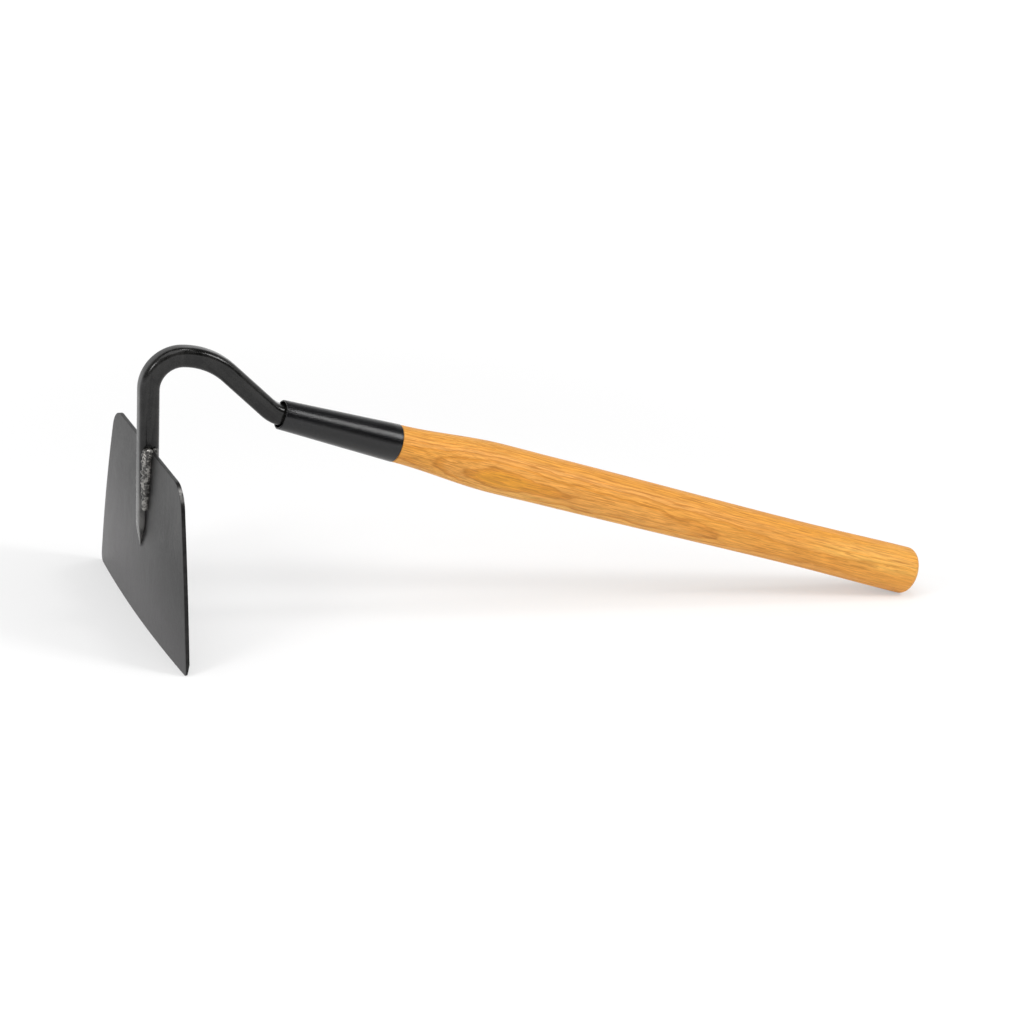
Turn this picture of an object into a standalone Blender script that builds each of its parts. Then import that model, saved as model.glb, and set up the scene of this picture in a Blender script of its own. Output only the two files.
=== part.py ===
"""Short handled draw hoe: a dished steel blade on a gooseneck bar, in an oak handle.

The tool stands as it does when it is put down, on its cutting edge and on the butt of its
handle. +X runs from the blade to the butt, +Y across the blade and +Z up, and the floor is
at z = 0. The origin is at the middle of the footprint.
"""

import math

import bmesh
import bpy
from mathutils import Matrix, Vector

MM = 0.001
NAME = "draw_hoe"

# Clearances
SEAT_GAP = 0.3 * MM                 # between two pieces that touch
MERGE = 0.00005                     # closer points are one point

# Blade
BLADE_WIDTH = 190.5 * MM            # along the cutting edge
BLADE_TOP_WIDTH = 143.5 * MM        # along the top edge, to the unrounded corners
BLADE_HEIGHT = 110.0 * MM
BLADE_THICKNESS = 2.4 * MM
BLADE_DISH = 3.0 * MM               # how far the middle of the cutting edge bows outward
BLADE_LEAN = 6.5 * MM               # how far the top edge lies out from the lower corners
BLADE_SIDE_BOW = 2.3 * MM           # how far each side edge bulges
TOP_CORNER_RADIUS = 12.0 * MM
LOWER_CORNER_RADIUS = 4.0 * MM
EDGE_THICKNESS = 0.9 * MM           # at the ground cutting edge
GRIND_HEIGHT = 7.0 * MM             # the height of the ground band on the inner face
BLADE_ROUNDING = 0.35 * MM
BLADE_COLUMNS = 10                  # quads across half the blade
BLADE_ROWS = 8                      # quads up the straight part of a side
CORNER_STEPS = 5

# Gooseneck, a square bar
BAR = 12.5 * MM
BAR_CORNER_RADIUS = 3.0 * MM
NECK_LEAN = math.radians(4.4)       # the upright leans out at the top
ARCH_RADIUS = 19.6 * MM             # the bend from the upright to the crown
CROWN_RADIUS = 46.0 * MM            # the bend from the crown to the leg
LEG_SLOPE = math.radians(40.0)      # the leg's slope towards the handle
LEG_LENGTH = 35.0 * MM              # straight run of the leg
ENTRY_RADIUS = 22.5 * MM            # the bend that brings the leg into line with the handle
BEND_STEP = math.radians(6.0)
SECTION_STEPS = 3                   # quads round each corner of the bar
RIDGE_HEIGHT = 5.6 * MM             # how far the bar stands out of the blade at the top edge
RIDGE_LENGTH = 64.0 * MM            # outer cheek, measured down from the top edge
RIDGE_POINT = 17.0 * MM             # length of the cheek's sharpened end
INNER_CHEEK_LENGTH = 30.0 * MM
INNER_CHEEK_SLOPE = math.radians(35.0)
TANG_SHOULDER = 14.0 * MM           # the bar draws down to the tang over this length
TANG_LENGTH = 72.0 * MM             # from the ferrule's mouth to the tang's tip
TANG_ROOT = 8.5 * MM                # side of the square tang where it enters the wood
TANG_TIP = 5.0 * MM

# Weld beads in the corners between the bar and the blade
BEAD_LENGTH = 40.0 * MM
BEAD_LEG = 3.6 * MM                 # width of a bead on each face
BEAD_PITCH = 2.6 * MM               # from one ripple to the next
BEAD_RIPPLE = 0.06                  # ripple height as a share of the leg
BEAD_STEPS = 5                      # sections a ripple
BEAD_ARC_STEPS = 5                  # quads round the bead's face
BEAD_FULLNESS = 0.8                 # 1 is a quarter circle, less is fuller
BEAD_RUNOUT = 7.0 * MM              # the bead thins over this length at its lower end
INNER_BEAD_LEG = 2.6 * MM

# Ferrule, a tapered steel tube
FERRULE_LENGTH = 79.0 * MM
FERRULE_MOUTH_DIAMETER = 18.4 * MM
FERRULE_WOOD_DIAMETER = 24.0 * MM
FERRULE_WALL = 1.0 * MM
FERRULE_ROUNDING = 0.4 * MM

# Handle
GRIP_SLOPE = math.radians(14.35)    # the axis's slope down to the butt when the hoe stands
HANDLE_LENGTH = 388.0 * MM          # visible wood, from the ferrule to the butt
NECK_DIAMETER = 23.6 * MM           # wood beside the ferrule
SHOULDER_AT = 72.0 * MM             # distances from the ferrule
SHOULDER_DIAMETER = 31.7 * MM
SWELL_AT = 112.0 * MM
SWELL_DIAMETER = 31.3 * MM
WAIST_AT = 295.0 * MM
WAIST_DIAMETER = 29.3 * MM
BUTT_DIAMETER = 31.2 * MM
BUTT_RADIUS = 5.0 * MM
PROFILE_STEP = 12.0 * MM            # spacing of the turned profile's points
TENON_LENGTH = FERRULE_LENGTH - TANG_SHOULDER
ROUND_STEPS = 48

# Finish of each piece: colour, roughness, metallic
STEEL_BLADE = ("blade_steel", (0.135, 0.13, 0.13), 0.5, 0.8)
STEEL_NECK = ("neck_steel", (0.06, 0.06, 0.057), 0.42, 0.8)
STEEL_WELD = ("weld_metal", (0.17, 0.165, 0.155), 0.45, 0.9)
STEEL_FERRULE = ("ferrule_steel", (0.03, 0.03, 0.03), 0.35, 0.7)
OAK = ("oak", (0.55, 0.27, 0.09), 0.38, 0.0)


# The scene, its collections and its materials

def clear_scene():
    """Remove every object, so that the script can be run again."""
    for obj in list(bpy.data.objects):
        bpy.data.objects.remove(obj, do_unlink=True)


def new_collection(name):
    collection = bpy.data.collections.get(name) or bpy.data.collections.new(name)
    if collection.name not in bpy.context.scene.collection.children:
        bpy.context.scene.collection.children.link(collection)
    return collection


def material(finish):
    name, colour, roughness, metallic = finish
    mat = bpy.data.materials.get(name) or bpy.data.materials.new(name)
    mat.use_nodes = True
    shader = next(node for node in mat.node_tree.nodes if node.type == "BSDF_PRINCIPLED")
    shader.inputs["Base Color"].default_value = (*colour, 1.0)
    shader.inputs["Roughness"].default_value = roughness
    shader.inputs["Metallic"].default_value = metallic
    mat.diffuse_color = (*colour, 1.0)
    return mat


def mesh_object(name, bm, collection, finish=None):
    """Turn a bmesh into an object in the collection."""
    bmesh.ops.recalc_face_normals(bm, faces=bm.faces)
    mesh = bpy.data.meshes.new(name)
    bm.to_mesh(mesh)
    bm.free()
    obj = bpy.data.objects.new(name, mesh)
    collection.objects.link(obj)
    if finish:
        mesh.materials.append(material(finish))
    return obj


def as_cutter(obj):
    obj.hide_render = True
    obj.display_type = "WIRE"
    return obj


def cut(obj, cutter):
    boolean = obj.modifiers.new("cut_" + cutter.name, "BOOLEAN")
    boolean.operation = "DIFFERENCE"
    boolean.object = cutter


def smooth(obj, angle=40.0):
    obj.data.shade_smooth()
    obj.data.set_sharp_from_angle(angle=math.radians(angle))


def box_cutter(name, collection, low, high, matrix):
    """A box between two corners, placed by a matrix."""
    size = [b - a for a, b in zip(low, high)]
    middle = [(a + b) / 2 for a, b in zip(low, high)]
    bm = bmesh.new()
    bmesh.ops.create_cube(bm, size=1.0)
    bmesh.ops.scale(bm, vec=size, verts=bm.verts)
    bmesh.ops.translate(bm, vec=middle, verts=bm.verts)
    obj = as_cutter(mesh_object(name, bm, collection))
    obj.matrix_world = matrix
    return obj


# The centre line of the neck and the handle, in the plane y = 0

def direction(slope):
    """A unit vector towards the butt that falls at this slope."""
    return Vector((math.cos(slope), 0.0, -math.sin(slope)))


def bend(points, start_slope, end_slope, radius):
    """Walk from the last point towards the blade along an arc that changes the slope."""
    steps = max(2, math.ceil(abs(end_slope - start_slope) / BEND_STEP))
    half = (end_slope - start_slope) / steps / 2
    chord = 2 * radius * math.sin(abs(half))
    for i in range(steps):
        slope = start_slope + half * (2 * i + 1)
        points.append(points[-1] - direction(slope) * chord)


class Centreline:
    """The line through the handle, the ferrule and the neck, worked out from the sizes.

    It starts at the butt, where the floor sets its height, and ends at the blade's foot.
    """

    def __init__(self):
        along = direction(GRIP_SLOPE)
        butt = BUTT_DIAMETER / 2
        lowest = (butt - BUTT_RADIUS) * math.cos(GRIP_SLOPE)
        lowest += BUTT_RADIUS * (1 - math.sin(GRIP_SLOPE))
        self.butt = Vector((0.0, 0.0, lowest))
        self.joint = self.butt - along * HANDLE_LENGTH
        self.mouth = self.joint - along * FERRULE_LENGTH
        self.bar = [self.mouth.copy()]
        bend(self.bar, GRIP_SLOPE, LEG_SLOPE, ENTRY_RADIUS)
        self.bar.append(self.bar[-1] - direction(LEG_SLOPE) * LEG_LENGTH)
        bend(self.bar, LEG_SLOPE, 0.0, CROWN_RADIUS)
        bend(self.bar, 0.0, -(math.pi / 2 + NECK_LEAN), ARCH_RADIUS)
        self.arch_foot = self.bar[-1].copy()
        self.top_edge = self.upright_at(BLADE_HEIGHT)
        self.bar_foot = self.upright_at(BLADE_HEIGHT - RIDGE_LENGTH)
        self.bar.append(self.bar_foot)

    def upright_at(self, height):
        """The point of the upright's axis at a height over the floor."""
        drop = self.arch_foot.z - height
        return self.arch_foot + Vector((drop * math.tan(NECK_LEAN), 0.0, -drop))


LINE = Centreline()


# The blade's own shape, measured from the middle of its cutting edge's lower corners

def blade_half_width(height):
    """Half the blade's width at a height, with its rounded corners."""
    share = height / BLADE_HEIGHT
    width = BLADE_WIDTH / 2 + (BLADE_TOP_WIDTH - BLADE_WIDTH) / 2 * share
    width += BLADE_SIDE_BOW * 4 * share * (1 - share)
    over = height - (BLADE_HEIGHT - TOP_CORNER_RADIUS)
    if over > 0:
        width -= TOP_CORNER_RADIUS - math.sqrt(max(0.0, TOP_CORNER_RADIUS ** 2 - over ** 2))
    under = LOWER_CORNER_RADIUS - height
    if under > 0:
        width -= LOWER_CORNER_RADIUS - math.sqrt(max(0.0, LOWER_CORNER_RADIUS ** 2 - under ** 2))
    return width


def blade_outer_face(across, height):
    """The x of the outer face: it leans out at the top and bows out at the foot."""
    share = height / BLADE_HEIGHT
    bow = 1 - (across / (BLADE_WIDTH / 2)) ** 2
    return -BLADE_LEAN * share - BLADE_DISH * (1 - share) * bow


def blade_heights():
    """The heights of the blade's rows, closer together round the corners."""
    quarter = [math.radians(90) * i / CORNER_STEPS for i in range(CORNER_STEPS + 1)]
    lower = [LOWER_CORNER_RADIUS * (1 - math.cos(angle)) for angle in quarter]
    top = BLADE_HEIGHT - TOP_CORNER_RADIUS
    upper = [top + TOP_CORNER_RADIUS * math.sin(angle) for angle in quarter]
    middle = [GRIND_HEIGHT + (top - GRIND_HEIGHT) * i / BLADE_ROWS for i in range(BLADE_ROWS)]
    return lower + middle + upper


# The blade stands where the bar's outer face is RIDGE_HEIGHT out of it at the top edge.
BLADE_X = LINE.top_edge.x - BAR / 2 / math.cos(NECK_LEAN) + RIDGE_HEIGHT
BLADE_X -= blade_outer_face(0.0, BLADE_HEIGHT)
BLADE_SLOPE = math.atan((BLADE_LEAN - BLADE_DISH) / BLADE_HEIGHT)


def blade_matrix(height):
    """A frame on the outer face's middle line: X inward, Y across, Z up along the face."""
    place = Vector((BLADE_X + blade_outer_face(0.0, height), 0.0, height))
    return Matrix.Translation(place) @ Matrix.Rotation(-BLADE_SLOPE, 4, "Y")


def make_blade(collection):
    """Half the outer face as a sheet, mirrored, thickened inward and ground at the edge."""
    heights = blade_heights()
    rows = len(heights) - 1
    bm = bmesh.new()
    bmesh.ops.create_grid(bm, x_segments=BLADE_COLUMNS, y_segments=rows, size=0.5)
    thin = bm.verts.layers.deform.verify()
    for vert in bm.verts:
        column = vert.co.x + 0.5
        height = heights[round((vert.co.y + 0.5) * rows)]
        across = column * blade_half_width(height)
        vert.co = (blade_outer_face(across, height), across, height)
        ground = min(1.0, height / GRIND_HEIGHT)
        vert[thin][0] = (EDGE_THICKNESS + (BLADE_THICKNESS - EDGE_THICKNESS) * ground) / BLADE_THICKNESS
    obj = mesh_object("blade", bm, collection, STEEL_BLADE)
    obj.vertex_groups.new(name="thickness")
    obj.location.x = BLADE_X
    if obj.data.polygons[0].normal.x > 0:
        obj.data.flip_normals()
    mirror = obj.modifiers.new("mirror", "MIRROR")
    mirror.use_axis = (False, True, False)
    mirror.merge_threshold = MERGE
    solid = obj.modifiers.new("thickness", "SOLIDIFY")
    solid.thickness = BLADE_THICKNESS
    solid.offset = -1.0
    solid.use_even_offset = True
    solid.vertex_group = "thickness"
    bevel = obj.modifiers.new("rounding", "BEVEL")
    bevel.width = BLADE_ROUNDING
    bevel.segments = 1
    bevel.limit_method = "ANGLE"
    bevel.angle_limit = math.radians(55)
    smooth(obj)
    return obj


# The gooseneck

def rounded_square(name, side, radius, collection):
    """A closed flat curve of a square with round corners, as a section for a bar."""
    data = bpy.data.curves.new(name, "CURVE")
    data.dimensions = "2D"
    reach = side / 2 - radius
    places = []
    for quadrant in range(4):
        for i in range(SECTION_STEPS + 1):
            angle = math.radians(90) * (quadrant + i / SECTION_STEPS)
            sign_x = 1 if quadrant in (0, 3) else -1
            sign_y = 1 if quadrant in (0, 1) else -1
            places.append((sign_x * reach + radius * math.cos(angle),
                           sign_y * reach + radius * math.sin(angle)))
    spline = data.splines.new("POLY")
    spline.points.add(len(places) - 1)
    spline.use_cyclic_u = True
    for point, (x, y) in zip(spline.points, places):
        point.co = (x, y, 0.0, 1.0)
    obj = bpy.data.objects.new(name, data)
    collection.objects.link(obj)
    return as_cutter(obj)


def swept_bar(name, places, section, collection, finish=None):
    """A bar along a row of points, each with its own scale, made into a closed mesh."""
    data = bpy.data.curves.new(name, "CURVE")
    data.dimensions = "3D"
    data.twist_mode = "MINIMUM"
    data.bevel_mode = "OBJECT"
    data.bevel_object = section
    data.use_fill_caps = True
    spline = data.splines.new("POLY")
    spline.points.add(len(places) - 1)
    for point, (place, scale) in zip(spline.points, places):
        point.co = (*place, 1.0)
        point.radius = scale
    curve = bpy.data.objects.new(name + "_path", data)
    collection.objects.link(curve)
    bpy.context.view_layer.update()
    mesh = bpy.data.meshes.new_from_object(curve.evaluated_get(bpy.context.evaluated_depsgraph_get()))
    bm = bmesh.new()
    bm.from_mesh(mesh)
    bmesh.ops.remove_doubles(bm, verts=bm.verts, dist=MERGE)
    obj = mesh_object(name, bm, collection, finish)
    bpy.data.objects.remove(curve, do_unlink=True)
    bpy.data.meshes.remove(mesh)
    return obj


def tang_places(clearance, extra):
    """The tang's points from its tip to the ferrule's mouth, larger by a clearance a side."""
    along = direction(GRIP_SLOPE)
    sizes = ((TANG_LENGTH + extra, TANG_TIP), (TANG_SHOULDER, TANG_ROOT))
    return [(LINE.mouth + along * reach, (size + 2 * clearance) / BAR) for reach, size in sizes]


def make_gooseneck(collection, cutters):
    section = rounded_square("bar_section", BAR, BAR_CORNER_RADIUS, cutters)
    places = tang_places(0.0, 0.0) + [(place, 1.0) for place in LINE.bar]
    obj = swept_bar("gooseneck", places, section, collection, STEEL_NECK)

    # The slit that takes the blade, from the bar's foot up to the blade's top edge
    wide = BAR
    slit = box_cutter("slit_cutter", cutters,
                      (-SEAT_GAP, -wide, -RIDGE_LENGTH * 1.5),
                      (BLADE_THICKNESS + SEAT_GAP, wide, SEAT_GAP),
                      blade_matrix(BLADE_HEIGHT))
    cut(obj, slit)

    # The inner cheek ends short, on a slope
    place = blade_matrix(BLADE_HEIGHT - INNER_CHEEK_LENGTH)
    place = place @ Matrix.Translation((BLADE_THICKNESS, 0.0, 0.0))
    inner = box_cutter("inner_cheek_cutter", cutters,
                       (-BLADE_THICKNESS / 4, -wide, -RIDGE_LENGTH * 1.5),
                       (BAR * 3, wide, 0.0),
                       place)
    slope = box_cutter("inner_slope_cutter", cutters,
                       (-BLADE_THICKNESS / 4, -wide, -RIDGE_LENGTH),
                       (BAR * 3, wide, 0.0),
                       place @ Matrix.Rotation(-INNER_CHEEK_SLOPE, 4, "Y"))
    cut(obj, inner)
    cut(obj, slope)

    # The outer cheek is sharpened to a point, on its face and on both flanks
    tip = blade_matrix(BLADE_HEIGHT - RIDGE_LENGTH)
    gap = BLADE_X + blade_outer_face(0.0, BLADE_HEIGHT - RIDGE_LENGTH)
    height = gap - (LINE.bar_foot.x - BAR / 2 / math.cos(NECK_LEAN))
    face = box_cutter("point_face_cutter", cutters,
                      (-BAR, -wide, -RIDGE_POINT),
                      (0.0, wide, RIDGE_POINT * 2),
                      tip @ Matrix.Translation((-SEAT_GAP * 2, 0.0, 0.0))
                      @ Matrix.Rotation(-math.atan((height + SEAT_GAP) / RIDGE_POINT), 4, "Y"))
    cut(obj, face)
    for side in (-1, 1):
        turn = Matrix.Rotation(side * math.atan(BAR / 2 / RIDGE_POINT), 4, "X")
        start = tip @ Matrix.Translation((0.0, -side * SEAT_GAP, 0.0))
        low, high = sorted((0.0, -side * BAR))
        flank = box_cutter("point_flank_cutter", cutters,
                           (-BAR * 1.5, low, -RIDGE_POINT),
                           (SEAT_GAP, high, RIDGE_POINT * 2),
                           start @ turn)
        cut(obj, flank)
    smooth(obj)
    return obj


# The weld beads

def bead_scale(reach, length):
    """The bead's size at a distance from its top: rippled, and thinner at both ends."""
    ripple = 1 + BEAD_RIPPLE * math.cos(2 * math.pi * reach / BEAD_PITCH)
    left = min(1.0, (length - reach) / BEAD_RUNOUT)
    start = min(1.0, 0.6 + reach / BEAD_PITCH)
    return ripple * start * (0.35 + 0.65 * math.sqrt(max(0.0, left)))


def make_bead(name, collection, matrix, length, leg, flip_across, flip_inward):
    """A convex fillet down a corner: X off the blade's face, Y off the bar's flank."""
    bm = bmesh.new()
    quarter = [math.radians(90) * i / BEAD_ARC_STEPS for i in range(BEAD_ARC_STEPS + 1)]
    rim = [(max(0.0, math.cos(angle)) ** BEAD_FULLNESS, math.sin(angle) ** BEAD_FULLNESS)
           for angle in quarter]
    points = [(0.0, 0.0)] + rim
    section = [bm.verts.new((x, y, 0.0)) for x, y in points]
    face = bm.faces.new(section)
    rest = [vert.co.copy() for vert in section]
    steps = max(4, round(length / BEAD_PITCH * BEAD_STEPS))
    ring = section
    for vert, co in zip(ring, rest):
        vert.co = co * leg * bead_scale(0.0, length)
    for i in range(1, steps + 1):
        reach = length * i / steps
        made = bmesh.ops.extrude_face_region(bm, geom=[face])["geom"]
        if i > 1:
            bmesh.ops.delete(bm, geom=[face], context="FACES_ONLY")
        face = next(item for item in made if isinstance(item, bmesh.types.BMFace))
        ring = list(face.verts)
        size = leg * bead_scale(reach, length)
        last = leg * bead_scale(length * (i - 1) / steps, length)
        for vert in ring:
            vert.co = Vector((vert.co.x * size / last, vert.co.y * size / last, -reach))
    bmesh.ops.transform(bm, matrix=Matrix.Diagonal((flip_inward, flip_across, 1.0, 1.0)), verts=bm.verts)
    obj = mesh_object(name, bm, collection, STEEL_WELD)
    obj.matrix_world = matrix
    smooth(obj, 60.0)
    return obj


def make_beads(collection):
    """One bead down each flank of the ridge, and one down each flank of the inner cheek."""
    beads = []
    off = BAR / 2 + SEAT_GAP
    for side, word in ((-1, "left"), (1, "right")):
        top = blade_matrix(BLADE_HEIGHT)
        outer = top @ Matrix.Translation((-SEAT_GAP, side * off, -SEAT_GAP))
        beads.append(make_bead("weld_bead_outer_" + word, collection, outer,
                               BEAD_LENGTH, BEAD_LEG, side, -1))
        inner = top @ Matrix.Translation((BLADE_THICKNESS + SEAT_GAP, side * off, -SEAT_GAP))
        beads.append(make_bead("weld_bead_inner_" + word, collection, inner,
                               INNER_CHEEK_LENGTH, INNER_BEAD_LEG, side, 1))
    return beads


# The ferrule and the handle, both turned about their own Z, which points at the neck

def axis_matrix(place):
    """A frame on the handle's axis, with +Z towards the neck."""
    return Matrix.Translation(place) @ Matrix.Rotation(GRIP_SLOPE - math.pi / 2, 4, "Y")


def ferrule_radius(from_mouth):
    share = from_mouth / FERRULE_LENGTH
    return (FERRULE_MOUTH_DIAMETER + (FERRULE_WOOD_DIAMETER - FERRULE_MOUTH_DIAMETER) * share) / 2


def turned(name, outline, closed, collection, finish):
    """Turn an outline of (radius, height) points, outer side from top to bottom, about Z."""
    bm = bmesh.new()
    verts = [bm.verts.new((radius, 0.0, height)) for radius, height in outline]
    for first, second in zip(verts, verts[1:]):
        bm.edges.new((first, second))
    if closed:
        bm.edges.new((verts[-1], verts[0]))
    mesh = bpy.data.meshes.new(name)
    bm.to_mesh(mesh)
    bm.free()
    mesh.materials.append(material(finish))
    obj = bpy.data.objects.new(name, mesh)
    collection.objects.link(obj)
    screw = obj.modifiers.new("turn", "SCREW")
    screw.axis = "Z"
    screw.steps = ROUND_STEPS
    screw.render_steps = ROUND_STEPS
    screw.use_merge_vertices = True
    screw.merge_threshold = MERGE
    screw.use_smooth_shade = True
    return obj


def make_ferrule(collection):
    mouth = ferrule_radius(0.0)
    wood = ferrule_radius(FERRULE_LENGTH)
    r = FERRULE_ROUNDING
    outline = [(mouth - r, 0.0), (mouth, -r), (wood, -FERRULE_LENGTH),
               (wood - FERRULE_WALL, -FERRULE_LENGTH), (mouth - FERRULE_WALL, 0.0)]
    obj = turned("ferrule", outline, True, collection, STEEL_FERRULE)
    obj.matrix_world = axis_matrix(LINE.mouth)
    return obj


def ease(share):
    return share * share * (3 - 2 * share)


def handle_radius(from_ferrule):
    """The visible wood's radius: it swells behind the ferrule and thins towards the butt."""
    stations = ((0.0, NECK_DIAMETER), (SHOULDER_AT, SHOULDER_DIAMETER), (SWELL_AT, SWELL_DIAMETER),
                (WAIST_AT, WAIST_DIAMETER), (HANDLE_LENGTH, BUTT_DIAMETER))
    for (start, first), (end, second) in zip(stations, stations[1:]):
        if from_ferrule <= end:
            return (first + (second - first) * ease((from_ferrule - start) / (end - start))) / 2
    return BUTT_DIAMETER / 2


def handle_outline():
    """From the tenon's nose to the butt, with heights over the butt's end face."""
    shoulder = HANDLE_LENGTH - SEAT_GAP
    nose = HANDLE_LENGTH + TENON_LENGTH
    inside = FERRULE_WALL + SEAT_GAP
    nose_radius = ferrule_radius(TANG_SHOULDER) - inside
    root_radius = ferrule_radius(FERRULE_LENGTH) - inside
    outline = [(0.0, nose), (nose_radius - MM, nose), (nose_radius, nose - MM), (root_radius, shoulder)]
    rows = math.ceil((HANDLE_LENGTH - BUTT_RADIUS) / PROFILE_STEP)
    for i in range(rows + 1):
        reach = SEAT_GAP + (HANDLE_LENGTH - BUTT_RADIUS - SEAT_GAP) * i / rows
        outline.append((handle_radius(reach), HANDLE_LENGTH - reach))
    for i in range(1, CORNER_STEPS + 1):
        angle = math.radians(90) * i / CORNER_STEPS
        outline.append((handle_radius(HANDLE_LENGTH) - BUTT_RADIUS * (1 - math.cos(angle)),
                        BUTT_RADIUS * (1 - math.sin(angle))))
    outline.append((0.0, 0.0))
    return outline


def make_handle(collection, cutters):
    obj = turned("handle", handle_outline(), False, collection, OAK)
    obj.matrix_world = axis_matrix(LINE.butt)
    section = rounded_square("bore_section", BAR, BAR_CORNER_RADIUS, cutters)
    places = tang_places(SEAT_GAP, SEAT_GAP)
    along = direction(GRIP_SLOPE)
    last, scale = places[-1]
    places.append((last - along * TANG_SHOULDER / 2, scale))
    bore = as_cutter(swept_bar("bore_cutter", places, section, cutters))
    cut(obj, bore)
    return obj


# The assembly

def footprint_middle(parts):
    """The middle of the assembly's box along X."""
    graph = bpy.context.evaluated_depsgraph_get()
    reach = []
    for obj in parts:
        shape = obj.evaluated_get(graph)
        mesh = shape.to_mesh()
        reach += [(shape.matrix_world @ vert.co).x for vert in mesh.vertices]
        shape.to_mesh_clear()
    return (min(reach) + max(reach)) / 2


def build():
    clear_scene()
    parts = new_collection(NAME)
    cutters = new_collection("cutters")
    pieces = [make_blade(parts), make_gooseneck(parts, cutters)]
    pieces += make_beads(parts)
    pieces += [make_ferrule(parts), make_handle(parts, cutters)]
    origin = bpy.data.objects.new(NAME + "_origin", None)
    parts.objects.link(origin)
    bpy.context.view_layer.update()
    for obj in list(parts.objects) + list(cutters.objects):
        if obj is not origin:
            obj.parent = origin
    origin.location.x = -footprint_middle(pieces)
    bpy.context.view_layer.update()
    print("butt face at", [round(v, 6) for v in origin.matrix_world @ LINE.butt])
    print("along the handle", [round(v, 6) for v in direction(GRIP_SLOPE)])
    print("blade corners at x", round(BLADE_X + origin.location.x, 6))


build()
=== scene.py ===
"""The looks of a short handled draw hoe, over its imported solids.

A dished steel blade is welded to a square gooseneck bar, whose tang sits in a turned oak
handle under a tapered black ferrule. +X runs from the blade to the butt, +Y across the blade
and +Z up. The tool stands on its cutting edge and on its butt.
"""

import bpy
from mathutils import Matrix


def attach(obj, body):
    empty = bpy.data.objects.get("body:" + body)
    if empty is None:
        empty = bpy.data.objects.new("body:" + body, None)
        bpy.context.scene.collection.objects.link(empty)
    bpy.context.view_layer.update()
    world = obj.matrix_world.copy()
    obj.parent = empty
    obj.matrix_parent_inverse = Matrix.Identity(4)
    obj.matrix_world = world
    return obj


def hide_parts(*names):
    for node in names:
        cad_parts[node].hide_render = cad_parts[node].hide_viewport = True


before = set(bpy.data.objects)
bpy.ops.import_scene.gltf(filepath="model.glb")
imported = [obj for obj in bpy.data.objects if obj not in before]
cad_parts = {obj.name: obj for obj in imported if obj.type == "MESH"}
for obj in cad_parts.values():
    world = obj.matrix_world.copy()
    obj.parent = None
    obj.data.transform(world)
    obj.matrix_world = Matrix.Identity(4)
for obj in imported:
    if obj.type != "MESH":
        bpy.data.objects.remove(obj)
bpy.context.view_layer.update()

import logging
import math
from dataclasses import dataclass
from enum import Enum

import bmesh
import bpy
from mathutils import Matrix, Vector, noise

MM = 0.001
BAR = 12.5 * MM  # the side of the square bar
GAP = 0.3 * MM  # between pieces that touch
MERGE = 0.000005
CREASE = math.radians(35.0)
BODY = "root"
log = logging.getLogger("draw_hoe")

Pair = tuple[float, float]
Triple = tuple[float, float, float]
Colour = Triple
Material = bpy.types.Material
Object = bpy.types.Object
Shape = bmesh.types.BMesh
Socket = bpy.types.NodeSocket
Inputs = dict[str | int, object]
WHITE: Colour = (1.0, 1.0, 1.0)


class Slot(Enum):
    """The material slots, by name."""

    BLADE = "blade_steel"
    NECK = "neck_steel"
    WELD = "weld_metal"
    FERRULE = "ferrule_steel"
    OAK = "oak"


class Side(Enum):
    """The two sides of the tool's middle plane, by the sign of y."""

    LEFT = -1
    RIGHT = 1


# Node graphs

@dataclass(frozen=True)
class Signal:
    """A number in a node graph, with the arithmetic of plain numbers."""

    graph: "Graph"
    socket: Socket

    def __add__(self, other: "Signal | float") -> "Signal":
        """Return this plus another."""
        return self.graph.math("ADD", self, other)

    def __sub__(self, other: "Signal | float") -> "Signal":
        """Return this minus another."""
        return self.graph.math("SUBTRACT", self, other)

    def __mul__(self, other: "Signal | float") -> "Signal":
        """Return this times another."""
        return self.graph.math("MULTIPLY", self, other)

    def __truediv__(self, other: "Signal | float") -> "Signal":
        """Return this over another."""
        return self.graph.math("DIVIDE", self, other)

    def window(self, low: float, high: float, start: float = 0.0, end: float = 1.0) -> "Signal":
        """Ease from start to end while this goes from low to high.

        Args:
            low: Where the change begins.
            high: Where it is over.
            start: The result at and before low.
            end: The result at and after high.

        Returns:
            The eased number.
        """
        node = self.graph.node("ShaderNodeMapRange", {
            "Value": self, "From Min": low, "From Max": high, "To Min": start, "To Max": end},
            interpolation_type="SMOOTHSTEP")
        return Signal(self.graph, node.outputs["Result"])


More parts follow.
